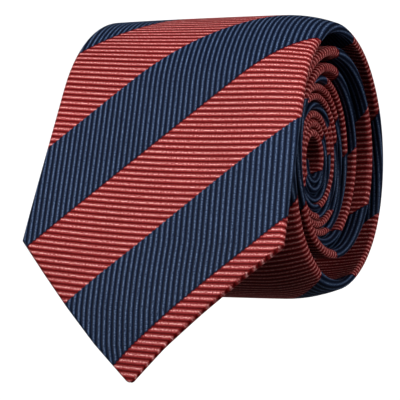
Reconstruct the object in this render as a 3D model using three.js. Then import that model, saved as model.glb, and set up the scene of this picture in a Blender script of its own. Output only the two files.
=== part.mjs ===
// A man's silk necktie, rolled up from its narrow end and standing on the roll's end.
// Units are millimetres, +Z is up and is the axis of the roll.
// The free blade runs out along +X at the front (-Y) of the roll.
import * as THREE from "three";

// ---- driving dimensions -------------------------------------------------
const BLADE_WIDTH = 80;          // widest point of the blade, at its two corners
const POINT_LENGTH = 40;         // the blade's point is a right angle
const FREE_LENGTH = 92;          // blade left free past the tangent line of the roll
const FREE_TILT = 2.4;           // degrees the free blade stands off the roll
const POINT_CURL = 0.0076;       // 1/mm, how strongly the point bends back at its tip
const CURL_START = 30;           // mm past the tangent line where the bend begins
const HINGE_X = 12;              // mm past the tangent line where the free blade flexes
const CLOTH = 0.45;              // silk twill, one layer
const GAP = 0.3;                 // air between two pieces that touch
const SLIT = 0.75;               // half the seam opening down the middle of the back
const HEM = 14;                  // folded-over silk round the point, measured across
const TURN_STEPS = 20;           // facets in one turn of the roll
const TURNS = 10.6;

// radius of the middle of the cloth, by turns from the outside in
const RADIUS = [
  [0, 45.7], [0.25, 41.6], [0.5, 43.0], [0.63, 42.2], [0.75, 40.8], [0.88, 39.6], [1, 37.4],
  [1.1, 34.2], [1.2, 32.6], [1.42, 31.6], [1.67, 29.3], [1.92, 28.8], [2.17, 28.1], [2.42, 27.0],
  [2.67, 25.7], [3.17, 24.8], [3.67, 22.8], [4.17, 22.2], [4.67, 20.2], [5.2, 19.2], [5.67, 17.6],
  [6.2, 16.4], [6.7, 14.9], [7.2, 13.8], [8.2, 11.0], [9.2, 8.0], [10.2, 5.2], [10.6, 4.1],
];

// ---- the path of the strip ----------------------------------------------
function curveAt(knots, x) {
  // smooth curve through the knots, slopes taken from the neighbours
  const last = knots.length - 1;
  let i = 0;
  while (i < last - 1 && x > knots[i + 1][0]) {
    i += 1;
  }
  const slope = (k) => {
    const low = Math.max(0, k - 1);
    const high = Math.min(last, k + 1);
    return (knots[high][1] - knots[low][1]) / (knots[high][0] - knots[low][0]);
  };
  const h = knots[i + 1][0] - knots[i][0];
  const u = (x - knots[i][0]) / h;
  const a = 2 * u ** 3 - 3 * u ** 2 + 1;
  const b = u ** 3 - 2 * u ** 2 + u;
  const c = u ** 3 - u ** 2;
  return a * knots[i][1] + b * h * slope(i) + (1 - a) * knots[i + 1][1] + c * h * slope(i + 1);
}

function lineAt(knots, x) {
  // straight lines between the knots
  const last = knots.length - 1;
  if (x <= knots[0][0]) {
    return knots[0][1];
  }
  if (x >= knots[last][0]) {
    return knots[last][1];
  }
  let i = 0;
  while (x > knots[i + 1][0]) {
    i += 1;
  }
  const u = (x - knots[i][0]) / (knots[i + 1][0] - knots[i][0]);
  return knots[i][1] + u * (knots[i + 1][1] - knots[i][1]);
}

function buildPath() {
  // from the tip of the blade to the tip of the tail
  const free = [];
  const step = 1;
  let heading = (-FREE_TILT * Math.PI) / 180;
  let x = 0;
  let y = -RADIUS[0][1];
  for (let d = step; d <= FREE_LENGTH; d += step) {
    const bend = (POINT_CURL * Math.max(0, d - CURL_START)) / (FREE_LENGTH - CURL_START);
    heading += bend * step;
    x += Math.cos(heading) * step;
    y += Math.sin(heading) * step;
    free.push([x, y]);
  }
  const points = free.reverse();
  const fine = 2;
  const count = Math.round((TURNS * 360) / fine);
  for (let i = 0; i <= count; i += 1) {
    const angle = (i * fine * Math.PI) / 180;
    const r = curveAt(RADIUS, (i * fine) / 360);
    points.push([-r * Math.sin(angle), -r * Math.cos(angle)]);
  }
  const path = [{ s: 0, x: points[0][0], y: points[0][1] }];
  for (let i = 1; i < points.length; i += 1) {
    const run = Math.hypot(points[i][0] - points[i - 1][0], points[i][1] - points[i - 1][1]);
    path.push({ s: path[i - 1].s + run, x: points[i][0], y: points[i][1] });
  }
  return path;
}

const PATH = buildPath();
const LENGTH = PATH[PATH.length - 1].s;
const FREE_POINTS = FREE_LENGTH;               // one point a millimetre
const POINTS_PER_STEP = 360 / TURN_STEPS / 2;  // fine points between two facets

function pathAt(s) {
  let low = 0;
  let high = PATH.length - 1;
  while (high - low > 1) {
    const mid = (low + high) >> 1;
    if (PATH[mid].s <= s) {
      low = mid;
    } else {
      high = mid;
    }
  }
  const u = (s - PATH[low].s) / (PATH[high].s - PATH[low].s);
  const x = PATH[low].x + u * (PATH[high].x - PATH[low].x);
  const y = PATH[low].y + u * (PATH[high].y - PATH[low].y);
  const before = PATH[Math.max(0, low - 2)];
  const after = PATH[Math.min(PATH.length - 1, high + 2)];
  const run = Math.hypot(after.x - before.x, after.y - before.y);
  return { x, y, nx: -(after.y - before.y) / run, ny: (after.x - before.x) / run };
}

// ---- the strip's width, height and thickness ----------------------------
const TAIL_POINT = 22;
const TAIL_WIDTH = 44;
const WIDTH = [
  [0, 1.6], [POINT_LENGTH, BLADE_WIDTH], [95, 76.3], [150, 74.8], [215, 74.0], [310, 72.6],
  [370, 71.8], [450, 66], [600, 57], [760, 46], [900, 37], [1050, 35], [1250, 39],
  [LENGTH - TAIL_POINT, TAIL_WIDTH], [LENGTH, 2],
];
const TOP = [
  [0, 42.3], [POINT_LENGTH, BLADE_WIDTH], [95, 76.3], [150, 74.8], [215, 74.0], [310, 72.6],
  [370, 73.0], [410, 73.8], [460, 73.8], [510, 71.8], [600, 70.2], [700, 68.8], [780, 68.0],
  [950, 66.8], [LENGTH - TAIL_POINT, 65.5], [LENGTH, 44.5],
];
const THICKNESS = [
  [0, 3.6], [300, 3.6], [560, 2.9], [740, 2.3], [LENGTH - 130, 2.3], [LENGTH - 110, 2.6],
];
const BAR_TACK_AT = 205;
const TAIL_TACK_AT = LENGTH - 84;
const NECK_SEAM_AT = 560;
const TAIL_SEAM_AT = 960;
const TIPPING_END = 152;
const TAIL_TIPPING_START = LENGTH - 108;

const widthAt = (s) => lineAt(WIDTH, s);
const thickAt = (s) => lineAt(THICKNESS, s);
const middleAt = (s) => lineAt(TOP, s) - widthAt(s) / 2;

function openingAt(s) {
  // half the gap between the two folded edges on the back
  const hemmed = Math.max(SLIT * 0.6, widthAt(s) / 2 - HEM);
  if (s < POINT_LENGTH || s > LENGTH - TAIL_POINT) {
    return hemmed;
  }
  if (s < BAR_TACK_AT) {
    const corner = BLADE_WIDTH / 2 - HEM;
    return lineAt([[POINT_LENGTH, corner], [BAR_TACK_AT - 5, SLIT]], s);
  }
  return lineAt([[TAIL_TACK_AT, SLIT], [LENGTH - TAIL_POINT, TAIL_WIDTH / 2 - HEM]], s);
}

// the box's bottom centre is the origin
const SHIFT_X = -23.75;
const SHIFT_Y = 2.3;

// the roll's facets: neighbouring layers share them, so that they nest
const FACETS = [0, 10, 20, 30, POINT_LENGTH, 52, 66, FREE_LENGTH - HINGE_X];
for (let i = FREE_POINTS; i < PATH.length; i += POINTS_PER_STEP) {
  FACETS.push(PATH[i].s);
}
if (FACETS[FACETS.length - 1] < LENGTH) {
  FACETS.push(LENGTH);
}

function place(s, a, b) {
  // a is across the strip (up), b is out of its face
  let i = 0;
  while (i < FACETS.length - 2 && s > FACETS[i + 1]) {
    i += 1;
  }
  const u = (s - FACETS[i]) / (FACETS[i + 1] - FACETS[i]);
  const p = pathAt(FACETS[i]);
  const q = pathAt(FACETS[i + 1]);
  const x = (1 - u) * (p.x + p.nx * b) + u * (q.x + q.nx * b);
  const y = (1 - u) * (p.y + p.ny * b) + u * (q.y + q.ny * b);
  return [x + SHIFT_X, y + SHIFT_Y, middleAt(s) + a];
}

function stations(from, to) {
  const list = [from];
  const corner = LENGTH - TAIL_POINT;
  for (const s of FACETS) {
    if (s > from + 0.2 && s < to - 0.2 && Math.abs(s - corner) > 0.5) {
      list.push(s);
    }
  }
  if (corner > from && corner < to) {
    list.push(corner);
  }
  list.push(to);
  return list.sort((p, q) => p - q);
}

// ---- solids -------------------------------------------------------------
function solid(name, rings, capQuads, look) {
  // rings of equal length joined in order, closed with quads at both ends
  const count = rings[0].length;
  const position = rings.flat(2);
  let index = [];
  for (let k = 0; k < rings.length - 1; k += 1) {
    for (let i = 0; i < count; i += 1) {
      const j = (i + 1) % count;
      const low = k * count;
      const high = low + count;
      index.push(low + i, low + j, high + j, low + i, high + j, high + i);
    }
  }
  const end = (rings.length - 1) * count;
  for (const [a, b, c, d] of capQuads) {
    index.push(a, c, b, a, d, c);
    index.push(end + a, end + b, end + c, end + a, end + c, end + d);
  }
  let volume = 0;
  const at = (i) => new THREE.Vector3(position[3 * i], position[3 * i + 1], position[3 * i + 2]);
  for (let i = 0; i < index.length; i += 3) {
    volume += at(index[i]).dot(at(index[i + 1]).cross(at(index[i + 2])));
  }
  if (volume < 0) {
    index = index.reverse();
  }
  const geometry = new THREE.BufferGeometry();
  geometry.setAttribute("position", new THREE.Float32BufferAttribute(position, 3));
  geometry.setIndex(index);
  geometry.computeVertexNormals();
  const material = new THREE.MeshStandardMaterial({
    color: look.color, roughness: look.roughness, metalness: 0,
  });
  const mesh = new THREE.Mesh(geometry, material);
  mesh.name = name;
  return mesh;
}

function shellRing(s) {
  // the silk folded round to the back, open down the middle
  const w = widthAt(s) / 2;
  const t = thickAt(s) / 2;
  const g = Math.min(openingAt(s), w - CLOTH - 0.1);
  const c = CLOTH;
  const profile = [
    [-g, -t], [-w, -t], [-w, t], [w, t], [w, -t], [g, -t],
    [g, c - t], [w - c, c - t], [w - c, t - c], [c - w, t - c], [c - w, c - t], [-g, c - t],
  ];
  return profile.map(([a, b]) => place(s, a, b));
}
const SHELL_CAP = [[0, 1, 10, 11], [1, 2, 9, 10], [2, 3, 8, 9], [3, 4, 7, 8], [4, 5, 6, 7]];

function shell(name, from, to, look) {
  return solid(name, stations(from, to).map(shellRing), SHELL_CAP, look);
}

function slabRing(s, halfWidth, low, high) {
  const corners = [[-halfWidth, low], [-halfWidth, high], [halfWidth, high], [halfWidth, low]];
  return corners.map(([a, b]) => place(s, a, b));
}
const SLAB_CAP = [[0, 1, 2, 3]];

function slab(name, from, to, halfWidth, low, high, look) {
  // a flat strip that follows the roll; sizes may be functions of s
  const value = (v, s) => (typeof v === "function" ? v(s) : v);
  const rings = stations(from, to).map(
    (s) => slabRing(s, value(halfWidth, s), value(low, s), value(high, s)),
  );
  return solid(name, rings, SLAB_CAP, look);
}

function thread(name, route, half, look) {
  // a four-sided yarn through points given as [s, a, b]
  const points = route.map(([s, a, b]) => new THREE.Vector3(...place(s, a, b)));
  const up = new THREE.Vector3(0, 0, 1);
  const rings = points.map((p, i) => {
    const before = points[Math.max(0, i - 1)];
    const after = points[Math.min(points.length - 1, i + 1)];
    const along = after.clone().sub(before).normalize();
    const here = pathAt(route[i][0]);
    const out = new THREE.Vector3(here.nx, here.ny, 0);
    const side = new THREE.Vector3().crossVectors(along, out);
    if (side.lengthSq() < 0.04) {
      side.copy(up);
    }
    side.normalize();
    const lift = new THREE.Vector3().crossVectors(side, along).normalize();
    return [[-1, -1], [-1, 1], [1, 1], [1, -1]].map(([u, v]) => {
      const q = p.clone().addScaledVector(side, u * half).addScaledVector(lift, v * half * 0.8);
      return [q.x, q.y, q.z];
    });
  });
  return solid(name, rings, SLAB_CAP, look);
}

// ---- looks --------------------------------------------------------------
const SILK = { color: 0x27324f, roughness: 0.55 };
const SILK_RED = { color: 0xa8323a, roughness: 0.55 };
const LINING = { color: 0x1b2238, roughness: 0.4 };
const WOOL = { color: 0xd9d3c4, roughness: 0.95 };
const THREAD = { color: 0x1d2740, roughness: 0.7 };
const LABEL = { color: 0xe8e4da, roughness: 0.8 };

const tie = new THREE.Group();
tie.name = "necktie";
const hinge = FREE_LENGTH - HINGE_X;
const insideBack = (s) => -thickAt(s) / 2 + CLOTH;
const insideFace = (s) => thickAt(s) / 2 - CLOTH - GAP;
const innerHalf = (s) => widthAt(s) / 2 - CLOTH - GAP;
const underBack = (s) => -thickAt(s) / 2 - GAP;

// the silk: blade in two bodies that meet where it flexes, then neck and tail
tie.add(shell("blade_shell_free", 1.2, hinge - 0.25, SILK));
tie.add(shell("blade_shell_wound", hinge + 0.25, NECK_SEAM_AT - 0.5, SILK));
tie.add(shell("neck_shell", NECK_SEAM_AT + 0.5, TAIL_SEAM_AT - 0.5, SILK));
tie.add(shell("tail_shell", TAIL_SEAM_AT + 0.5, LENGTH - 0.3, SILK));

// the lines of stitching that join the three lengths of silk
tie.add(shell("neck_seam", NECK_SEAM_AT - 0.2, NECK_SEAM_AT + 0.2, SILK_RED));
tie.add(shell("tail_seam", TAIL_SEAM_AT - 0.2, TAIL_SEAM_AT + 0.2, SILK_RED));

// the satin tipping behind both points, and the wool interlining with room for it
const TIPPING = 0.3;
const TIPPING_GAP = 0.24;
function woolLow(s) {
  const tipped = s < TIPPING_END + 6 || s > TAIL_TIPPING_START - 6;
  return insideBack(s) + (tipped ? TIPPING_GAP + TIPPING + GAP : GAP);
}
const tipLow = (s) => insideBack(s) + TIPPING_GAP;
const tipHigh = (s) => tipLow(s) + TIPPING;
tie.add(slab("interlining_free", 6, hinge - 0.3, innerHalf, woolLow, insideFace, WOOL));
tie.add(slab("interlining_wound", hinge + 0.3, LENGTH - 6, innerHalf, woolLow, insideFace, WOOL));
tie.add(slab("tipping_free", 5, hinge - 0.3, innerHalf, tipLow, tipHigh, LINING));
tie.add(slab("tipping_wound", hinge + 0.3, TIPPING_END, innerHalf, tipLow, tipHigh, LINING));
tie.add(slab("tail_tipping", TAIL_TIPPING_START, LENGTH - 5, innerHalf, tipLow, tipHigh, LINING));

// the keeper loop across the back, and the stitches that hold its two ends
const KEEPER_AT = 262;
const KEEPER_HALF = 21;
tie.add(slab("keeper_loop", KEEPER_AT - 5, KEEPER_AT + 5, KEEPER_HALF,
  (s) => underBack(s) - 0.7, underBack, SILK_RED));

// a blank woven label and the care tab beside it
const LABEL_AT = 300;
tie.add(slab("woven_label", LABEL_AT - 11, LABEL_AT + 11, 24,
  (s) => underBack(s) - 0.4, underBack, LABEL));
const CARE_AT = 336;
tie.add(slab("care_tab", CARE_AT - 13, CARE_AT + 13, 8,
  (s) => underBack(s) - 0.3, underBack, LABEL));

function stitchBar(name, at, halfLength, across, offset) {
  // a short row of stitches lying on top of the piece it holds
  const low = (s) => underBack(s) - offset - 0.4;
  const high = (s) => underBack(s) - offset;
  const ring = (s) => [
    [across - halfLength, low(s)], [across - halfLength, high(s)],
    [across + halfLength, high(s)], [across + halfLength, low(s)],
  ].map(([a, b]) => place(s, a, b));
  return solid(name, [at - 0.4, at + 0.4].map(ring), SLAB_CAP, THREAD);
}
tie.add(stitchBar("keeper_stitch_upper", KEEPER_AT, 1.2, KEEPER_HALF - 2, 1.0));
tie.add(stitchBar("keeper_stitch_lower", KEEPER_AT, 1.2, 2 - KEEPER_HALF, 1.0));
tie.add(stitchBar("label_stitch_front", LABEL_AT - 9.5, 22, 0, 0.7));
tie.add(stitchBar("label_stitch_rear", LABEL_AT + 9.5, 22, 0, 0.7));
tie.add(stitchBar("care_tab_stitch", CARE_AT - 11.5, 6.5, 0, 0.6));
tie.add(stitchBar("blade_bar_tack", BAR_TACK_AT, 5, 0, 0));

// the tack at the tail sits in the seam, between the two folded edges
tie.add(slab("tail_bar_tack", TAIL_TACK_AT - 0.8, TAIL_TACK_AT + 0.8, SLIT - 0.25,
  (s) => -thickAt(s) / 2 + 0.05, (s) => -thickAt(s) / 2 + 0.4, THREAD));

// one slip-stitch thread down the back seam, ending in the spare loop at the blade;
// the loop's points are distances along the tie and across it
const THREAD_HALF = 0.22;
const SPARE_LOOP = [
  [197, 0], [188, 2.2], [174, 3.4], [165, 2.2], [163, -0.6], [167, -3], [177, -3.4], [190, -2],
];
const seam = stations(BAR_TACK_AT - 4, TAIL_TACK_AT - 2).reverse();
const route = seam.map((s) => [s, 0, -thickAt(s) / 2 + THREAD_HALF]);
for (const [s, a] of SPARE_LOOP) {
  route.push([s, a, underBack(s) - GAP]);
}
tie.add(thread("slip_stitch_thread", route, THREAD_HALF, THREAD));

export default tie;
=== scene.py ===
# A man's silk necktie with navy and red diagonal stripes, rolled up and standing on the roll's end.
# Each piece is first laid flat, as on a cutting table, and a node tree then winds it on the roll.
import bpy
import math
import numpy as np
from mathutils import Matrix, Vector


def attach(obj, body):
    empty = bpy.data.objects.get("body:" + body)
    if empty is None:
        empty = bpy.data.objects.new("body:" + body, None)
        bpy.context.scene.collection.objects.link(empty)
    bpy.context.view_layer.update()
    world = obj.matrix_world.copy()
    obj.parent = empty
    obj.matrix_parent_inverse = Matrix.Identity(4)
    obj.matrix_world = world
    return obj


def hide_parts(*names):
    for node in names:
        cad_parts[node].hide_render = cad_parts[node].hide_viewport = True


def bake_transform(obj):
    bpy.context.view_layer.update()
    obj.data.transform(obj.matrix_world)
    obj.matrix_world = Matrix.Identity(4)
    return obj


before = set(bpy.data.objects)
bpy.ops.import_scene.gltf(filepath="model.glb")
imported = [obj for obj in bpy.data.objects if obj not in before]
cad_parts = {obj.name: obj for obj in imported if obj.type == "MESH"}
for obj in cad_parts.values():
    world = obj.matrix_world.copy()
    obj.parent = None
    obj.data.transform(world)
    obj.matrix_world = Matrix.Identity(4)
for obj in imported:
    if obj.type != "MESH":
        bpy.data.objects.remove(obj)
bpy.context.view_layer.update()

MM = 0.001

# ---- sizes of the tie, in millimetres, as in the CAD part ------------------------------------
BLADE_WIDTH = 80.0
POINT_LENGTH = 40.0
FREE_LENGTH = 92.0
FREE_TILT = 2.4
POINT_CURL = 0.0076
CURL_START = 30.0
SLIT = 0.75
HEM = 14.0
TURNS = 10.6
SHIFT = (-23.75, 2.3)
TAIL_POINT = 22.0
TAIL_WIDTH = 44.0

RADIUS = [
    (0, 45.7), (0.25, 41.6), (0.5, 43.0), (0.63, 42.2), (0.75, 40.8), (0.88, 39.6), (1, 37.4),
    (1.1, 34.2), (1.2, 32.6), (1.42, 31.6), (1.67, 29.3), (1.92, 28.8), (2.17, 28.1), (2.42, 27.0),
    (2.67, 25.7), (3.17, 24.8), (3.67, 22.8), (4.17, 22.2), (4.67, 20.2), (5.2, 19.2), (5.67, 17.6),
    (6.2, 16.4), (6.7, 14.9), (7.2, 13.8), (8.2, 11.0), (9.2, 8.0), (10.2, 5.2), (10.6, 4.1),
]

# ---- the cloth -------------------------------------------------------------------------------
SILK = 0.4            # thickness of the folded silk
FOLD = 1.5            # radius of the soft folds along both edges
STRIPE = 33.3         # width of one stripe, measured along the tie
FIRST_STRIPE = 9.0    # where the first navy stripe begins, from the tip
RIB = 1.85            # pitch of the ribs across the red stripes
NAVY_RIB = 1.6        # and of those along the navy ones
TIP_ROUND = 1.8       # radius of the blade's tip
TIP_CENTRE = 1.755    # where that arc has its centre, so that it meets the point's edges
RIM_REACH = 17.0      # how far down from the outer turn's upper edge it begins to lean in
PADDING_POWER = 2.6   # how flat the padding lies across the strip before it falls to the folds
DIP = 0.3             # how deep the cut edges of the back are pressed in
DIP_REACH = 3.0       # and how far to either side of them that shows
EDGE_LIMIT = 0.85     # those edges stay within this share of the flat back
FREE_TURN = 280.0     # length of free blade that counts as one turn, before the roll begins
STEPS_PER_TURN = 96

# ---- how the lengths of cloth meet, bend and lie on each other -------------------------------
SEAM_GAP = 0.2        # half the gap between two lengths of silk at their seam
SEAM_SLANT = 0.5      # rise of a piecing seam along the tie, for its run across
SLANT_RUN = 70.0      # length of cloth over which that slant dies out
DIVIDE_GAP = 0.1      # half the gap where the wool and the tipping are divided at the bend
MIDDLE_HEIGHT = 0.04  # height of the tie's middle above the floor, in metres
TIPPING_LIFT = 0.1    # how far the tipping lies off the silk behind it
TIPPING_THICK = 0.32
WOOL_OVER_TIPPING = 0.5  # how far the wool lies off that silk where there is tipping
WOOL_LIFT = 0.1       # and where there is none
WOOL_TOP = 0.08       # how far it stays below the face
WOOL_LEAST = 0.05     # its least thickness
PATCH_GAP = 0.25      # how far the keeper, label and care tab stand off the back


# ---- the path of the strip, from the blade's tip to the tail's tip ---------------------------
def curve_at(knots, x):
    """A smooth curve through the knots, with slopes taken from their neighbours."""
    kx, ky = np.array(knots, float).T
    slope = np.empty_like(ky)
    slope[1:-1] = (ky[2:] - ky[:-2]) / (kx[2:] - kx[:-2])
    slope[0] = (ky[1] - ky[0]) / (kx[1] - kx[0])
    slope[-1] = (ky[-1] - ky[-2]) / (kx[-1] - kx[-2])
    i = np.clip(np.searchsorted(kx, x, side="right") - 1, 0, len(kx) - 2)
    h = kx[i + 1] - kx[i]
    u = (x - kx[i]) / h
    a = 2 * u**3 - 3 * u**2 + 1
    return (a * ky[i] + (u**3 - 2 * u**2 + u) * h * slope[i]
            + (1 - a) * ky[i + 1] + (u**3 - u**2) * h * slope[i + 1])


def line_at(knots, x):
    """Straight lines between the knots."""
    kx, ky = np.array(knots, float).T
    return np.interp(x, kx, ky)


def build_path():
    """Distance along the strip, the place of its middle and the turn, by half mm and half degrees."""
    step, steps_round = 0.5, 720
    d = np.arange(step, FREE_LENGTH + step / 2, step)
    bend = POINT_CURL * np.maximum(0, d - CURL_START) / (FREE_LENGTH - CURL_START)
    heading = np.cumsum(bend * step) - math.radians(FREE_TILT)
    x = np.cumsum(np.cos(heading)) * step
    y = np.cumsum(np.sin(heading)) * step - RADIUS[0][1]
    turn = np.arange(0, TURNS * steps_round + 1) / steps_round
    r = curve_at(RADIUS, turn)
    angle = turn * 2 * math.pi
    x = np.concatenate([x[::-1], -r * np.sin(angle)])
    y = np.concatenate([y[::-1], -r * np.cos(angle)])
    s = np.concatenate([[0], np.cumsum(np.hypot(np.diff(x), np.diff(y)))])
    return s, x + SHIFT[0], y + SHIFT[1], np.concatenate([-d[::-1] / FREE_TURN, turn])


PATH_S, PATH_X, PATH_Y, PATH_TURN = build_path()
LENGTH = float(PATH_S[-1])
TANGENT_AT = FREE_LENGTH - 0.5

WIDTH = [  # of the folded strip, by the distance from the blade's tip
    (0, 1.6), (POINT_LENGTH, BLADE_WIDTH), (95, 76.3), (150, 74.8), (215, 74.0), (310, 72.6),
    (370, 71.8), (450, 66), (600, 57), (760, 46), (900, 37), (1050, 35), (1250, 39),
    (LENGTH - TAIL_POINT, TAIL_WIDTH), (LENGTH, 2),
]
TOP = [  # height of the strip's upper edge above the floor
    (0, 42.6), (10, 50.6), (20, 59.9), (30, 69.8), (POINT_LENGTH, BLADE_WIDTH), (95, 76.3),
    (150, 74.8), (215, 74.0), (310, 72.6), (370, 73.0), (410, 73.8), (460, 73.8), (510, 71.8),
    (600, 70.2), (700, 68.8), (780, 68.0), (950, 66.8), (LENGTH - TAIL_POINT, 65.5), (LENGTH, 44.5),
]
RIM_LEAN = [  # how far that edge leans in, by turns from the outside in
    (-0.33, 0), (-0.15, 0.5), (0, 1.6), (0.1, 2.6), (0.2, 3.2), (0.3, 1.8), (0.4, 0.2), (0.5, 0.2),
    (0.6, 2.4), (0.7, 3.6), (0.85, 2.6), (1.0, 0.6), (1.15, 0),
]
PATTERN_SLIP = [  # how far the stripes lag on the wound turns, by turns from the outside in
    (0, 0), (0.1, 0), (0.22, -4), (0.35, -8.3), (0.47, -10.5), (0.62, -10.5), (1.2, -15), (1.55, -17),
]
THICKNESS = [  # of the silk and all that is inside it
    (0, 1.5), (20, 2.5), (60, 3.2), (100, 3.6), (300, 3.6), (560, 2.9), (740, 2.3),
    (LENGTH - 130, 2.3), (LENGTH - 110, 2.6),
]
BAR_TACK_AT = 205.0
TAIL_TACK_AT = LENGTH - 84
NECK_SEAM_AT = 560.0
TAIL_SEAM_AT = 960.0
TIPPING_END = 152.0
TAIL_TIPPING_START = LENGTH - 108
KEEPER_AT, KEEPER_HALF, KEEPER_WIDTH = 262.0, 21.0, 10.0
LABEL_AT, LABEL_HALF, LABEL_WIDTH = 300.0, 24.0, 22.0
CARE_AT, CARE_HALF, CARE_LENGTH = 336.0, 8.0, 26.0
SPARE_LOOP = [  # of the slip stitch: along the tie and across it
    (197, 0), (188, 2.2), (174, 3.4), (165, 2.2), (163, -0.6), (167, -3), (177, -3.4), (190, -2),
]


def half_at(s):
    """Half the tie's width; the blade's tip is a small arc between the point's two edges."""
    arc = np.sqrt(np.maximum(TIP_ROUND**2 - (TIP_CENTRE - s) ** 2, 0.01))
    return np.where(s < TIP_CENTRE - TIP_ROUND * 0.7, arc, line_at(WIDTH, s) / 2)


def middle_at(s):
    return line_at(TOP, s) - line_at(WIDTH, s) / 2


def opening_at(s):
    """Half the gap between the two folded edges on the back."""
    corner = BLADE_WIDTH / 2 - HEM
    body = line_at([(POINT_LENGTH, corner), (BAR_TACK_AT - 5, SLIT), (TAIL_TACK_AT, SLIT),
                    (LENGTH - TAIL_POINT, TAIL_WIDTH / 2 - HEM)], s)
    point = np.maximum(SLIT * 0.6, half_at(s) - HEM)
    return np.where((s < POINT_LENGTH) | (s > LENGTH - TAIL_POINT), np.minimum(point, body), body)


def stations(start, end):
    """Distances along the strip, closer together where it is wound tighter."""
    tip = TIP_CENTRE - TIP_ROUND * np.cos(np.radians(np.arange(8, 46, 6)))
    point = np.arange(1, POINT_LENGTH, 1.25)
    free = np.arange(POINT_LENGTH, TANGENT_AT, 2.0)
    turns = np.arange(1, TURNS * STEPS_PER_TURN) / STEPS_PER_TURN
    wound = np.interp(turns, PATH_TURN, PATH_S)
    every = np.concatenate([tip, point, free, wound, [LENGTH - TAIL_POINT]])
    inside = every[(every > start + 0.05) & (every < end - 0.05)]
    return np.sort(np.concatenate([[start], inside, [end]]))


def laid(s, a, b):
    """A point of the strip laid flat, in metres: along it, out of its face, and up from the foot."""
    turn = np.interp(s, PATH_S, PATH_TURN)
    reach = np.clip((a - half_at(s) + RIM_REACH) / RIM_REACH, 0, 1)
    leaning = np.clip(turn, RIM_LEAN[0][0], RIM_LEAN[-1][0])
    lean = np.maximum(curve_at(RIM_LEAN, leaning), 0) * reach**2
    return np.stack(np.broadcast_arrays(s, b - lean, middle_at(s) + a), -1) * MM


# ---- node trees ------------------------------------------------------------------------------
def add(tree, kind, *inputs, named=(), **settings):
    """Adds a node with its settings; its inputs are numbers, sockets or nodes, in order or by name."""
    made = tree.nodes.new(kind)
    for key, value in settings.items():
        setattr(made, key, value)
    for key, value in list(enumerate(inputs)) + list(dict(named).items()):
        if isinstance(value, bpy.types.Node):
            value = value.outputs[0]
        if isinstance(value, bpy.types.NodeSocket):
            tree.links.new(value, made.inputs[key])
        elif value is not None:
            made.inputs[key].default_value = value
    return made


def geometry_tree(name, inputs):
    """A Geometry Nodes tree with the named inputs; returns it with its input node's sockets by name."""
    tree = bpy.data.node_groups.new(name, "GeometryNodeTree")
    tree.interface.new_socket("Geometry", in_out="INPUT", socket_type="NodeSocketGeometry")
    tree.interface.new_socket("Geometry", in_out="OUTPUT", socket_type="NodeSocketGeometry")
    for label, kind in inputs.items():
        tree.interface.new_socket(label, in_out="INPUT", socket_type="NodeSocket" + kind)
    return tree, add(tree, "NodeGroupInput").outputs


def end_tree(tree, geometry, look):
    """Every tree ends in plain meshes with the piece's material."""
    plain = add(tree, "GeometryNodeRealizeInstances", geometry)
    dressed = add(tree, "GeometryNodeSetMaterial", plain, named={"Material": look})
    add(tree, "NodeGroupOutput", dressed)
    return tree


def winding_tree():
    """Bends a piece laid flat round the path: x is distance along it, y is out of it, z stays up."""
    tree, given = geometry_tree("wind_on_the_roll", {"Path": "Object", "Look": "Material"})
    path = add(tree, "GeometryNodeObjectInfo", given["Path"]).outputs["Geometry"]
    flat = add(tree, "ShaderNodeSeparateXYZ", add(tree, "GeometryNodeInputPosition"))
    here = add(tree, "GeometryNodeSampleCurve", path, mode="LENGTH", use_all_curves=True,
               named={"Length": flat.outputs["X"]})
    out = add(tree, "ShaderNodeVectorMath", (0, 0, 1), here.outputs["Tangent"], operation="CROSS_PRODUCT")
    proud = add(tree, "ShaderNodeVectorMath", out, named={"Scale": flat.outputs["Y"]}, operation="SCALE")
    up = add(tree, "ShaderNodeCombineXYZ", named={"Z": flat.outputs["Z"]})
    side = add(tree, "ShaderNodeVectorMath", here.outputs["Position"], proud, operation="ADD")
    place = add(tree, "ShaderNodeVectorMath", side, up, operation="ADD")
    wound = add(tree, "GeometryNodeSetPosition", given["Geometry"], named={"Position": place})
    return end_tree(tree, wound, given["Look"])


def stitching_tree():
    """A row of stitches, each a thread that dives at both ends, along a line laid on the cloth."""
    sizes = {"Stitch Length": "Float", "Pitch": "Float", "Thread Radius": "Float", "Turn": "Float"}
    tree, given = geometry_tree("stitch_row", {**sizes, "Look": "Material"})
    line = add(tree, "GeometryNodeMeshToCurve", given["Geometry"])
    spots = add(tree, "GeometryNodeCurveToPoints", line, mode="LENGTH", named={"Length": given["Pitch"]})
    heading = add(tree, "ShaderNodeVectorRotate", spots.outputs["Tangent"], rotation_type="Y_AXIS",
                  named={"Angle": given["Turn"]})
    lie = add(tree, "FunctionNodeAlignRotationToVector", named={"Vector": heading}, axis="Z")
    half = add(tree, "ShaderNodeMath", given["Stitch Length"], 0.5, operation="MULTIPLY")
    size = add(tree, "ShaderNodeCombineXYZ", given["Thread Radius"], given["Thread Radius"], half)
    stitch = add(tree, "GeometryNodeMeshUVSphere", 8, 6, 1.0)
    row = add(tree, "GeometryNodeInstanceOnPoints", spots, named={"Instance": stitch, "Rotation": lie,
                                                                 "Scale": size})
    return end_tree(tree, row, given["Look"])


def thread_tree():
    """A round thread along a line."""
    tree, given = geometry_tree("thread", {"Thread Radius": "Float", "Look": "Material"})
    line = add(tree, "GeometryNodeMeshToCurve", given["Geometry"])
    ring = add(tree, "GeometryNodeCurvePrimitiveCircle", 8, named={"Radius": given["Thread Radius"]})
    tube = add(tree, "GeometryNodeCurveToMesh", line, ring, named={"Fill Caps": True})
    round_tube = add(tree, "GeometryNodeSetShadeSmooth", tube)
    return end_tree(tree, round_tube, given["Look"])


WIND, STITCHES, THREAD_LINE = winding_tree(), stitching_tree(), thread_tree()


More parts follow.
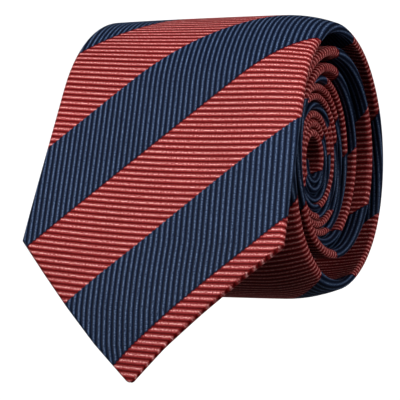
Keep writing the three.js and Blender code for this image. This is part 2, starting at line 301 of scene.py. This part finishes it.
def path_object():
    """The line that the strip follows, as a curve in the floor plane."""
    curve = bpy.data.curves.new("roll_path", "CURVE")
    curve.dimensions = "3D"
    line = curve.splines.new("POLY")
    line.points.add(len(PATH_S) - 1)
    points = np.stack([PATH_X * MM, PATH_Y * MM, 0 * PATH_X, 0 * PATH_X + 1], -1)
    line.points.foreach_set("co", points.ravel())
    obj = bpy.data.objects.new("roll_path", curve)
    bpy.context.scene.collection.objects.link(obj)
    return obj


PATH = path_object()


def apply_trees(obj, *steps):
    """Runs the trees on a piece, each with its inputs by name, and leaves it a plain mesh."""
    for tree, values in steps:
        modifier = obj.modifiers.new(tree.name, "NODES")
        modifier.node_group = tree
        for item in tree.interface.items_tree:
            if item.in_out == "INPUT" and item.name in values:
                modifier[item.identifier] = values[item.name]
    graph = bpy.context.evaluated_depsgraph_get()
    whole = obj.evaluated_get(graph)
    mesh = bpy.data.meshes.new_from_object(whole, preserve_all_data_layers=True, depsgraph=graph)
    obj.modifiers.clear()
    obj.data = mesh
    mesh.name = obj.name
    return obj


# ---- meshes ----------------------------------------------------------------------------------
def mesh_object(name, points, faces=(), edges=(), uv=None, sharp=()):
    mesh = bpy.data.meshes.new(name)
    mesh.from_pydata([tuple(p) for p in points], list(edges), list(faces))
    if uv is not None:
        layer = mesh.uv_layers.new(name="cloth")
        corners = np.zeros(len(mesh.loops), np.int32)
        mesh.loops.foreach_get("vertex_index", corners)
        layer.data.foreach_set("uv", np.asarray(uv, np.float32)[corners].ravel())
    if faces:
        mesh.shade_smooth()
    if sharp:
        wanted = {tuple(sorted(e)) for e in sharp}
        flags = [tuple(sorted(e.vertices)) in wanted for e in mesh.edges]
        mesh.attributes.new("sharp_edge", "BOOLEAN", "EDGE").data.foreach_set("value", flags)
    obj = bpy.data.objects.new(name, mesh)
    bpy.context.scene.collection.objects.link(obj)
    return obj


def skin(name, rings, uvs, look):
    """A closed skin over rings of equal length, each an outer row and then an inner row back, wound."""
    rows, count = rings.shape[:2]
    half = count // 2
    faces, sharp = [], []
    for k in range(rows - 1):
        low, high = k * count, (k + 1) * count
        for i in range(count):
            j = (i + 1) % count
            faces.append((low + i, high + i, high + j, low + j))
    for row, flip in ((0, False), (rows - 1, True)):
        base = row * count
        for i in range(half - 1):
            quad = (base + i, base + i + 1, base + count - 2 - i, base + count - 1 - i)
            faces.append(quad[::-1] if flip else quad)
        sharp += [(base + i, base + (i + 1) % count) for i in range(count)]
    obj = mesh_object(name, rings.reshape(-1, 3), faces, uv=uvs.reshape(-1, 2), sharp=sharp)
    return apply_trees(obj, (WIND, {"Path": PATH, "Look": look}))


def lens(a, half_width, fold, half_thick):
    """Half the thickness of the pressed, softly padded strip, at a from its middle."""
    x = np.clip(np.abs(a) / np.maximum(half_width - fold, 0.05), 0, 1)
    return fold + (half_thick - fold) * (1 - x**PADDING_POWER)


def folds_at(s):
    """Half width, half thickness and fold radius of the folded silk."""
    w, t = half_at(s), line_at(THICKNESS, s) / 2
    return w, t, np.minimum(np.minimum(FOLD, t - 0.05), 0.7 * w)


def cut_edge_at(s):
    """How far each cut edge of the back lies from the middle."""
    w, _, fold = folds_at(s)
    return np.minimum(opening_at(s), (w - fold) * EDGE_LIMIT)


def dip_at(s, a):
    """How far the cut edges of the back are pressed in, at a from the middle."""
    return DIP * np.exp(-(((np.abs(a) - cut_edge_at(s)) / DIP_REACH) ** 2))


FACE = np.linspace(-1, 1, 33)
BACK = np.linspace(0, 1, 9)
CAP = np.radians(np.linspace(-90, 90, 11))[1:-1]


def silk_rows(s, inset):
    """One side of the folded silk: places across and out of the strip, and across the flat cloth."""
    w, t, fold = (v[:, None] for v in folds_at(s))
    flat = w - fold
    g = cut_edge_at(s)[:, None]
    left = -g + (g - flat) * BACK
    face = FACE * flat
    turned = np.maximum(fold - inset, 0.1)
    cap_a, cap_b = flat + turned * np.cos(CAP), turned * np.sin(CAP)
    left_b = inset - lens(left, w, fold, t) + dip_at(s[:, None], left)
    face_b = lens(face, w, fold, t) - inset
    cap_v = flat + fold * (math.pi / 2 - CAP)
    back_v = 2 * flat + math.pi * fold + left
    a = np.concatenate([left, -cap_a, face, cap_a[:, ::-1], -left[:, ::-1]], 1)
    b = np.concatenate([left_b, cap_b, face_b, cap_b[:, ::-1], left_b[:, ::-1]], 1)
    v = np.concatenate([-back_v, -cap_v, face, cap_v[:, ::-1], back_v[:, ::-1]], 1)
    return a, b, v


def silk_piece(name, start, end, node, look, slant_start=False, slant_end=False, bends=False):
    """One length of silk, folded to the back; a piecing seam is cut on the slant."""
    s = stations(start, end)
    slant = SEAM_SLANT * (slant_start * np.clip(1 - (s - start) / SLANT_RUN, 0, 1)
                          + slant_end * np.clip(1 - (end - s) / SLANT_RUN, 0, 1))
    outer, inner = silk_rows(s, 0.0), silk_rows(s, SILK)
    a, b, v = (np.concatenate([o, i[:, ::-1]], 1) for o, i in zip(outer, inner))
    slip = line_at(PATTERN_SLIP, np.interp(s, PATH_S, PATH_TURN))
    along = s[:, None] + slant[:, None] * v
    # at the point the hem folds over a slanting edge, so its pattern turns with it
    hem = (s[:, None] < POINT_LENGTH) & (np.abs(v) > np.abs(a) + 0.01)
    across_cloth = np.where(hem, np.sign(a) * s[:, None], v)
    along_cloth = np.where(hem, np.abs(a), along + slip[:, None])
    obj = skin(name, laid(along, a, b), np.stack([across_cloth, along_cloth], -1), look)
    put_on(obj, [node], bends=bends)
    cloth_sheet(start, end, lambda x: 4 * half_at(x) - 2 * opening_at(x))
    return obj


def slab(name, s, across, low, high, look):
    """A closed strip between two heights, which are functions of the place along and across it."""
    along = s[:, None] + 0 * across
    a = np.concatenate([across, across[:, ::-1]], 1)
    b = np.concatenate([high(along, across), low(along, across)[:, ::-1]], 1)
    both = np.concatenate([along, along], 1)
    return skin(name, laid(both, a, b), np.stack([a, both], -1), look)


def layer_piece(name, start, end, low, high, look):
    """A layer that fills the inside of the folded silk from side to side."""
    s = stations(start, end)
    across = np.linspace(-1, 1, 17) * inner_half(s)[:, None]
    return slab(name, s, across, low, high, look)


# ---- materials -------------------------------------------------------------------------------
def linear(hex_colour):
    """An sRGB colour as the linear numbers that shaders take."""
    channels = [int(hex_colour[i:i + 2], 16) / 255 for i in (1, 3, 5)]
    return tuple(c / 12.92 if c <= 0.04045 else ((c + 0.055) / 1.055) ** 2.4 for c in channels) + (1.0,)


def new_material(name, roughness, **surface):
    """A material and its tree, with the numbers that are the same all over set on the shader."""
    material = bpy.data.materials.new(name)
    material.use_nodes = True
    shader = material.node_tree.nodes["Principled BSDF"]
    shader.inputs["Roughness"].default_value = roughness
    for key, value in surface.items():
        shader.inputs[key.replace("_", " ")].default_value = value
    return material, material.node_tree, shader


RED_SHADE_DYE_HIGHLIGHT = "#440404", "#b01c20", "#ffc0bc"   # painted shade in the valley, the cord's own colour, and a painted highlight on the crest
NAVY_SHADE_DYE_HIGHLIGHT = "#020819", "#142443", "#6b80a2"
EDGE_STEP = 0.45      # depth of the small steps in which the cords end at a stripe's edge
EDGE_SHARP = 6.0      # how quickly one stripe's colour gives way to the next, for each mm
OPEN_GROUND = 0.55    # from the line between two stripes to where the cords reach full height
RED_BOW = 4.0         # how far the red cords bow over half the blade
NAVY_LEAN = 0.09      # how far the navy ones lean, for each mm along the tie
CORD_POWER = 1.15     # how round a cord is
HIGHLIGHT_POWER = 4.5     # how narrow the painted highlight along it is


def repp_silk():
    """Repp-woven silk: corded ribs that run across the tie in red stripes and along it in navy ones.
    Each cord is a round ridge of smooth filament; its colour carries a painted highlight along the crest
    and painted shade in the valley."""
    material, tree, shader = new_material("silk_repp_stripe", 0.55, Specular_IOR_Level=0.08)
    cloth = add(tree, "ShaderNodeUVMap", uv_map="cloth")
    place = add(tree, "ShaderNodeSeparateXYZ", cloth)
    across, along = place.outputs["X"], place.outputs["Y"]
    # the cords at a stripe's edge end one after another, in small steps
    both = add(tree, "ShaderNodeMath", along, across, operation="ADD")
    step = add(tree, "ShaderNodeMath", both, RIB / 2, operation="PINGPONG")
    slant = add(tree, "ShaderNodeMath", along, across, operation="SUBTRACT")
    edge = add(tree, "ShaderNodeMath", step, EDGE_STEP, slant, operation="MULTIPLY_ADD")
    ahead = add(tree, "ShaderNodeMath", edge, 20 * STRIPE - FIRST_STRIPE, operation="ADD")
    in_pair = add(tree, "ShaderNodeMath", ahead, 2 * STRIPE, operation="MODULO")
    from_navy = add(tree, "ShaderNodeMath", STRIPE, in_pair, operation="SUBTRACT")
    navy = add(tree, "ShaderNodeMath", from_navy, EDGE_SHARP, 0.5, operation="MULTIPLY_ADD", use_clamp=True)
    # the line between two stripes, where the cords of both dive under and so take the valley's painted
    # shade
    from_edge = add(tree, "ShaderNodeMath", in_pair, STRIPE, operation="PINGPONG")
    raised = add(tree, "ShaderNodeMath", from_edge, 1 / OPEN_GROUND, operation="MULTIPLY", use_clamp=True)
    # cut on the bias, the cloth has stretched: its red cords bow a little and its navy ones lean
    round_face = add(tree, "ShaderNodeMath", across, 2 / BLADE_WIDTH, -0.5, operation="MULTIPLY_ADD")
    bow = add(tree, "ShaderNodeMath", round_face, operation="COSINE")
    bowed = add(tree, "ShaderNodeMath", bow, RED_BOW, along, operation="MULTIPLY_ADD")
    leaning = add(tree, "ShaderNodeMath", along, NAVY_LEAN, across, operation="MULTIPLY_ADD")
    cords = []
    for coordinate, pitch in ((bowed, RIB), (leaning, NAVY_RIB)):
        from_crest = add(tree, "ShaderNodeMath", coordinate, pitch / 2, operation="PINGPONG")
        share = add(tree, "ShaderNodeMath", from_crest, 2 / pitch, operation="MULTIPLY")
        round_off = add(tree, "ShaderNodeMath", share, CORD_POWER, operation="POWER")
        cords.append(add(tree, "ShaderNodeMath", 1.0, round_off, operation="SUBTRACT"))
    woven = add(tree, "ShaderNodeMix", navy, named={2: cords[0].outputs[0], 3: cords[1].outputs[0]})
    cord = add(tree, "ShaderNodeMath", woven, raised, operation="MULTIPLY")
    # filaments lie askew on each cord; 0.5 mm apart, coarser than the real ones, so that they show
    turned = add(tree, "ShaderNodeMapping", cloth, named={"Rotation": (0, 0, math.radians(38))})
    filament = add(tree, "ShaderNodeTexWave", turned, named={"Scale": 0.62, "Distortion": 1.2,
                                                             "Detail": 1.0, "Detail Scale": 2.0})
    speck = add(tree, "ShaderNodeTexNoise", cloth, named={"Scale": 2.6, "Detail": 2.0})
    # specks that fleck the colour at random and break up the painted highlight into glints
    fleck_and_glint = add(tree, "ShaderNodeMapRange", speck.outputs[0], 0.4, 0.6, 0.12, 1.0)
    cloudy = add(tree, "ShaderNodeTexNoise", cloth, named={"Scale": 0.045, "Detail": 2.0})
    # painted highlight: a narrow light line along each cord's crest, in the crest colour
    crest = add(tree, "ShaderNodeMath", cord, HIGHLIGHT_POWER, operation="POWER")
    highlight_mask = add(tree, "ShaderNodeMath", crest, fleck_and_glint, operation="MULTIPLY")
    stripes = []
    for valley, body, top in (RED_SHADE_DYE_HIGHLIGHT, NAVY_SHADE_DYE_HIGHLIGHT):
        # painted shade: where a cord sinks, its colour goes toward the dark valley colour
        shaded_cords = add(tree, "ShaderNodeMix", cord, data_type="RGBA",
                   named={6: linear(valley), 7: linear(body)}).outputs[2]
        stripes.append(add(tree, "ShaderNodeMix", highlight_mask, data_type="RGBA",
                           named={6: shaded_cords, 7: linear(top)}).outputs[2])
    colour = add(tree, "ShaderNodeMix", navy, data_type="RGBA",
                 named={6: stripes[0], 7: stripes[1]}).outputs[2]
    fleck = add(tree, "ShaderNodeMath", fleck_and_glint, 0.42, 0.6, operation="MULTIPLY_ADD")
    shade = add(tree, "ShaderNodeMath", cloudy.outputs[0], 0.35, fleck, operation="MULTIPLY_ADD")
    tint = add(tree, "ShaderNodeVectorMath", colour, operation="SCALE", named={"Scale": shade})
    lay = add(tree, "ShaderNodeMath", filament.outputs["Fac"], 0.16, cord, operation="MULTIPLY_ADD")
    relief = add(tree, "ShaderNodeMath", speck.outputs[0], 0.22, lay, operation="MULTIPLY_ADD")
    bump = add(tree, "ShaderNodeBump", named={"Height": relief, "Strength": 0.65, "Distance": 0.00032})
    tree.links.new(tint.outputs[0], shader.inputs["Base Color"])
    tree.links.new(bump.outputs[0], shader.inputs["Normal"])
    return material


def woven_cloth(name, dark, light, pitch, grain, relief, roughness, **surface):
    """A plain weave with its crossing yarns and a little uneven colour, in the cloth's own frame."""
    material, tree, shader = new_material(name, roughness, **surface)
    cloth = add(tree, "ShaderNodeUVMap", uv_map="cloth")
    place = add(tree, "ShaderNodeSeparateXYZ", cloth)
    noise = add(tree, "ShaderNodeTexNoise", cloth, named={"Scale": grain, "Detail": 4.0})
    waves = []
    for coordinate in (place.outputs["X"], place.outputs["Y"]):
        phase = add(tree, "ShaderNodeMath", coordinate, 2 * math.pi / pitch, operation="MULTIPLY")
        waves.append(add(tree, "ShaderNodeMath", phase, operation="SINE"))
    check = add(tree, "ShaderNodeMath", waves[0], waves[1], operation="MULTIPLY")
    height = add(tree, "ShaderNodeMath", check, 0.3, noise.outputs[0], operation="MULTIPLY_ADD")
    colour = add(tree, "ShaderNodeMix", height, data_type="RGBA",
                 named={6: linear(dark), 7: linear(light)}).outputs[2]
    bump = add(tree, "ShaderNodeBump", named={"Height": height, "Strength": 0.6, "Distance": relief})
    tree.links.new(colour, shader.inputs["Base Color"])
    tree.links.new(bump.outputs[0], shader.inputs["Normal"])
    return material


def sewing_thread(name, dark, light):
    """Twisted silk sewing thread: fine dark and light turns, with a soft shine."""
    material, tree, shader = new_material(name, 0.5, Sheen_Weight=0.2)
    spot = add(tree, "ShaderNodeTexCoord").outputs["Object"]
    twist = add(tree, "ShaderNodeTexNoise", spot, named={"Scale": 2500.0, "Detail": 2.0})
    colour = add(tree, "ShaderNodeMix", twist.outputs[0], data_type="RGBA",
                 named={6: linear(dark), 7: linear(light)}).outputs[2]
    bump = add(tree, "ShaderNodeBump", named={"Height": twist.outputs[0], "Strength": 0.5,
                                             "Distance": 0.00008})
    tree.links.new(colour, shader.inputs["Base Color"])
    tree.links.new(bump.outputs[0], shader.inputs["Normal"])
    return material


SILK_LOOK = repp_silk()
# satin: its long floating yarns lie flat and carry a soft shine over an almost even navy
LINING_LOOK = woven_cloth("navy_satin_tipping", "#12182b", "#242e4d", 0.5, 1.2, 0.00004, 0.3,
                          Specular_IOR_Level=0.6)
# brushed wool: a thick open weave under raised hairs, matt and cream, with no highlight
WOOL_LOOK = woven_cloth("brushed_wool_interlining", "#a1957d", "#e2dac8", 1.3, 1.5, 0.0003, 0.95,
                        Sheen_Weight=0.4)
# damask: fine even crossings, smooth and pale, with hardly any shine
LABEL_LOOK = woven_cloth("blank_damask_label", "#b9b1a0", "#efeadd", 0.6, 2.0, 0.00008, 0.7)
NAVY_THREAD = sewing_thread("navy_sewing_thread", "#10172b", "#39466b")
RED_THREAD = sewing_thread("red_sewing_thread", "#5f1419", "#b8444a")


# ---- hiding each piece's CAD nodes and placing it --------------------------------------------
def put_on(obj, nodes, bends=False):
    """Hides the CAD nodes that a piece stands for, and either bakes its place into its mesh or has it
    follow the roll's body.
    """
    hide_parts(*nodes)
    if bends:
        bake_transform(obj)
    else:
        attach(obj, "roll")
    return obj


def cloth_sheet(start, end, wide_at):
    """A strip cut from flat cloth: works out its flat width in mm along it, which wide_at gives, and does
    nothing more with it.
    """
    s = np.linspace(start, end, 400)
    wide = wide_at(s)


# ---- the silk --------------------------------------------------------------------------------
silk_piece("silk_blade_free", 0.02, TANGENT_AT, "blade_shell_free", SILK_LOOK, bends=True)
silk_piece("silk_blade_wound", TANGENT_AT, NECK_SEAM_AT - SEAM_GAP, "blade_shell_wound", SILK_LOOK,
           slant_end=True)
silk_piece("silk_neck", NECK_SEAM_AT + SEAM_GAP, TAIL_SEAM_AT - SEAM_GAP, "neck_shell", SILK_LOOK,
           slant_start=True, slant_end=True)
silk_piece("silk_tail", TAIL_SEAM_AT + SEAM_GAP, LENGTH - 0.3, "tail_shell", SILK_LOOK,
           slant_start=True)


# ---- the wool interlining and the satin tipping, inside the silk -----------------------------
def room(s, a):
    """Half the height that the silk leaves inside."""
    w, t, fold = folds_at(s)
    return lens(a, w, fold, t) - SILK


def inner_half(s):
    w, _, fold = folds_at(s)
    return np.maximum(w - 0.8 * fold, 0.3)


def wool_low(s, a):
    tipped = (s < TIPPING_END + 3) | (s > TAIL_TIPPING_START - 3)
    clear = np.where(tipped, WOOL_OVER_TIPPING, WOOL_LIFT) + dip_at(s, a) - room(s, a)
    return np.minimum(clear, wool_high(s, a) - WOOL_LEAST)


def wool_high(s, a):
    return room(s, a) - WOOL_TOP


def tipping_low(s, a):
    return TIPPING_LIFT + dip_at(s, a) - room(s, a)


def tipping_high(s, a):
    return tipping_low(s, a) + TIPPING_THICK


for name, start, end, node in (
    ("wool_free", 6.0, TANGENT_AT - DIVIDE_GAP, "interlining_free"),
    ("wool_wound", TANGENT_AT + DIVIDE_GAP, LENGTH - 6, "interlining_wound"),
):
    wool = layer_piece(name, start, end, wool_low, wool_high, WOOL_LOOK)
    put_on(wool, [node], bends=node.endswith("free"))
    cloth_sheet(start, end, lambda s: 2 * inner_half(s))

for name, start, end, node in (
    ("tipping_blade_free", 5.0, TANGENT_AT - DIVIDE_GAP, "tipping_free"),
    ("tipping_blade_wound", TANGENT_AT + DIVIDE_GAP, TIPPING_END, "tipping_wound"),
    ("tipping_tail", TAIL_TIPPING_START, LENGTH - 5, "tail_tipping"),
):
    satin = layer_piece(name, start, end, tipping_low, tipping_high, LINING_LOOK)
    put_on(satin, [node], bends=node.endswith("free"))
    cloth_sheet(start, end, lambda s: 2 * inner_half(s))


# ---- the keeper loop, the blank label and the care tab, on the back --------------------------
def back_at(s, a):
    w, t, fold = folds_at(s)
    return -lens(a, w, fold, t)


def patch(name, at, length, half, thick, node, look):
    """A small strip that lies on the back of the tie, with softly rounded edges."""
    def swell(s, a):
        u = np.clip(np.abs(s - at) / (length / 2), 0, 1) ** 8
        v = np.clip(np.abs(a) / half, 0, 1) ** 12
        return np.sqrt(np.maximum(1 - np.maximum(u, v), 0.04)) * thick / 2

    def middle(s, a):
        return back_at(s, a) - PATCH_GAP - thick / 2

    start, end = at - length / 2, at + length / 2
    s = np.linspace(start, end, 25)
    across = np.linspace(-half, half, 25)[None, :] + 0 * s[:, None]
    obj = slab(name, s, across, lambda s, a: middle(s, a) - swell(s, a),
               lambda s, a: middle(s, a) + swell(s, a), look)
    put_on(obj, [node])
    cloth_sheet(start, end, lambda x: 0 * x + 2 * half)


patch("keeper_band", KEEPER_AT, KEEPER_WIDTH, KEEPER_HALF, 0.7, "keeper_loop", SILK_LOOK)
patch("label_blank", LABEL_AT, LABEL_WIDTH, LABEL_HALF, 0.4, "woven_label", LABEL_LOOK)
patch("care_tab_satin", CARE_AT, CARE_LENGTH, CARE_HALF, 0.3, "care_tab", LABEL_LOOK)


# ---- stitches --------------------------------------------------------------------------------
SEAM_STITCH = {"length": 2.0, "pitch": 2.4, "radius": 0.14}
PATCH_STITCH = {"length": 1.9, "pitch": 2.4, "radius": 0.16}
KEEPER_TACK = {"length": 2.6, "pitch": 0.6, "radius": 0.2, "turn": 90}
BLADE_TACK = {"length": 1.8, "pitch": 0.42, "radius": 0.2, "turn": 90}
TAIL_TACK = {"length": 1.6, "pitch": 0.42, "radius": 0.18, "turn": 90}
SLIP_THREAD = 0.22    # radius of the slip stitch's thread, which is drawn thick so that it shows


def thread_line(name, s, a, b):
    """A line of points laid on the cloth, joined in order."""
    points = laid(np.asarray(s, float), np.asarray(a, float), np.asarray(b, float))
    edges = [(i, i + 1) for i in range(len(points) - 1)]
    return mesh_object(name, points, edges=edges)


def stitch_row(name, s, a, b, node, length, pitch, radius, turn=0.0, look=NAVY_THREAD):
    """Stitches along a line; turn is the angle in degrees between each stitch and the line."""
    sizes = {"Stitch Length": length * MM, "Pitch": pitch * MM, "Thread Radius": radius * MM,
             "Turn": math.radians(turn), "Look": look}
    line = thread_line(name, s, a, b)
    apply_trees(line, (STITCHES, sizes), (WIND, {"Path": PATH, "Look": look}))
    line.data.shade_smooth()
    return put_on(line, [node])


def seam_row(name, at, node):
    """Machine stitches along a slanting seam, over the front and both halves of the back."""
    s = np.full(1, at)
    a, b, v = (row[0] for row in silk_rows(s, -0.02))
    stitch_row(name, at + SEAM_SLANT * v, a, b, node, **SEAM_STITCH, look=RED_THREAD)


def back_row(name, at, middle, half, lift, node, stitch):
    """Stitches in a straight row across the back, lifted off it as far as what they sew is thick."""
    a = middle + np.linspace(-half, half, 9)
    s = np.full(9, at)
    stitch_row(name, s, a, back_at(s, a) - lift, node, **stitch)


seam_row("neck_seam_stitches", NECK_SEAM_AT, "neck_seam")
seam_row("tail_seam_stitches", TAIL_SEAM_AT, "tail_seam")
for side, sign in (("upper", 1), ("lower", -1)):
    back_row("keeper_tack_" + side, KEEPER_AT, sign * (KEEPER_HALF - 2), 1.2, 1.0,
             "keeper_stitch_" + side, KEEPER_TACK)
for name, at, half, lift, node, stitch in (
    ("label_stitches_front", LABEL_AT - 9.5, 22, 0.7, "label_stitch_front", PATCH_STITCH),
    ("label_stitches_rear", LABEL_AT + 9.5, 22, 0.7, "label_stitch_rear", PATCH_STITCH),
    ("care_tab_stitches", CARE_AT - 11.5, 6.5, 0.6, "care_tab_stitch", PATCH_STITCH),
    ("blade_tack_stitches", BAR_TACK_AT, 5, 0.05, "blade_bar_tack", BLADE_TACK),
    ("tail_tack_stitches", TAIL_TACK_AT, SLIT, -0.3, "tail_bar_tack", TAIL_TACK),
):
    back_row(name, at, 0, half, lift, node, stitch)


def slip_stitch():
    """One thread that laces the two folded edges together, and ends in the spare loop."""
    ladder, reach = 14.0, SLIT - 0.1
    s = np.arange(TAIL_TACK_AT - 2, BAR_TACK_AT - 4, -1.0)
    a = reach * np.clip(1.6 * np.sin(2 * math.pi * s / ladder), -1, 1)
    b = -line_at(THICKNESS, s) / 2 + 0.25
    knots = np.array([(s[-1], a[-1])] + SPARE_LOOP)
    steps = np.arange(len(knots))
    fine = np.linspace(0, len(knots) - 1, 97)[1:]
    loop_s = curve_at(np.stack([steps, knots[:, 0]], -1), fine)
    loop_a = curve_at(np.stack([steps, knots[:, 1]], -1), fine)
    loop_b = back_at(loop_s, loop_a) - 0.35
    obj = thread_line("slip_stitch", np.concatenate([s, loop_s]), np.concatenate([a, loop_a]),
                      np.concatenate([b, loop_b]))
    apply_trees(obj, (THREAD_LINE, {"Thread Radius": SLIP_THREAD * MM, "Look": NAVY_THREAD}),
                (WIND, {"Path": PATH, "Look": NAVY_THREAD}))
    put_on(obj, ["slip_stitch_thread"])


slip_stitch()
bpy.data.objects.remove(PATH)


# ---- camera, light and floor -----------------------------------------------------------------
def camera():
    """Looks at the front and the upper end of the roll, turned a quarter turn on its side."""
    azimuth, elevation, lean = (math.radians(v) for v in (26.6, 23.5, 0.3))
    distance = 0.510
    target = Vector((-0.0059, -0.0047, 0.033))
    back = Vector((math.sin(azimuth) * math.cos(elevation),
                   -math.cos(azimuth) * math.cos(elevation), math.sin(elevation)))
    side = Vector((math.cos(azimuth), math.sin(azimuth), 0))
    over = back.cross(side)
    right = over * math.cos(lean) - side * math.sin(lean)
    up = -(over * math.sin(lean) + side * math.cos(lean))
    data = bpy.data.cameras.new("camera")
    data.sensor_width = 36.0
    data.lens = 148.8
    obj = bpy.data.objects.new("camera", data)
    bpy.context.scene.collection.objects.link(obj)
    turn = Matrix((right, up, back)).transposed().to_4x4()
    obj.matrix_world = Matrix.Translation(target + back * distance) @ turn
    bpy.context.scene.camera = obj


def light(name, place, size, power, shine=True):
    """A round soft box aimed at the middle of the tie; without shine it leaves no highlights."""
    aim = Vector((0, 0, MIDDLE_HEIGHT))
    data = bpy.data.lights.new(name, "AREA")
    data.shape = "DISK"
    data.size = size
    data.energy = power
    obj = bpy.data.objects.new(name, data)
    bpy.context.scene.collection.objects.link(obj)
    obj.visible_glossy = shine
    obj.location = place
    obj.rotation_euler = (aim - Vector(place)).to_track_quat("-Z", "Y").to_euler()


def floor():
    """A white sweep that glows enough to stay white, and throws no light back on the tie."""
    material, _, _ = new_material("white_sweep", 0.9, Base_Color=linear("#8c8c8c"),
                                  Emission_Color=linear("#ffffff"), Emission_Strength=0.97)
    size = 3.0
    corners = [(-size, -size, 0), (size, -size, 0), (size, size, 0), (-size, size, 0)]
    obj = mesh_object("floor", corners, [(0, 1, 2, 3)])
    obj.data.materials.append(material)
    obj.visible_diffuse = False
    obj.visible_glossy = False


def studio_air():
    """A faint even light from all round."""
    world = bpy.data.worlds.new("studio")
    bpy.context.scene.world = world
    world.use_nodes = True
    background = world.node_tree.nodes["Background"]
    background.inputs["Color"].default_value = linear("#ffffff")
    background.inputs["Strength"].default_value = 0.05


camera()
floor()
studio_air()
light("key", (-0.1, -0.52, 0.05), 0.12, 2.4)
light("side", (-0.7, -0.6, 0.1), 0.3, 1.0)
light("rim", (-0.2, -0.12, 0.8), 0.2, 2.4)
light("back", (-0.1, 0.95, 0.12), 0.3, 4, shine=False)
bpy.context.scene.view_settings.view_transform = "Standard"
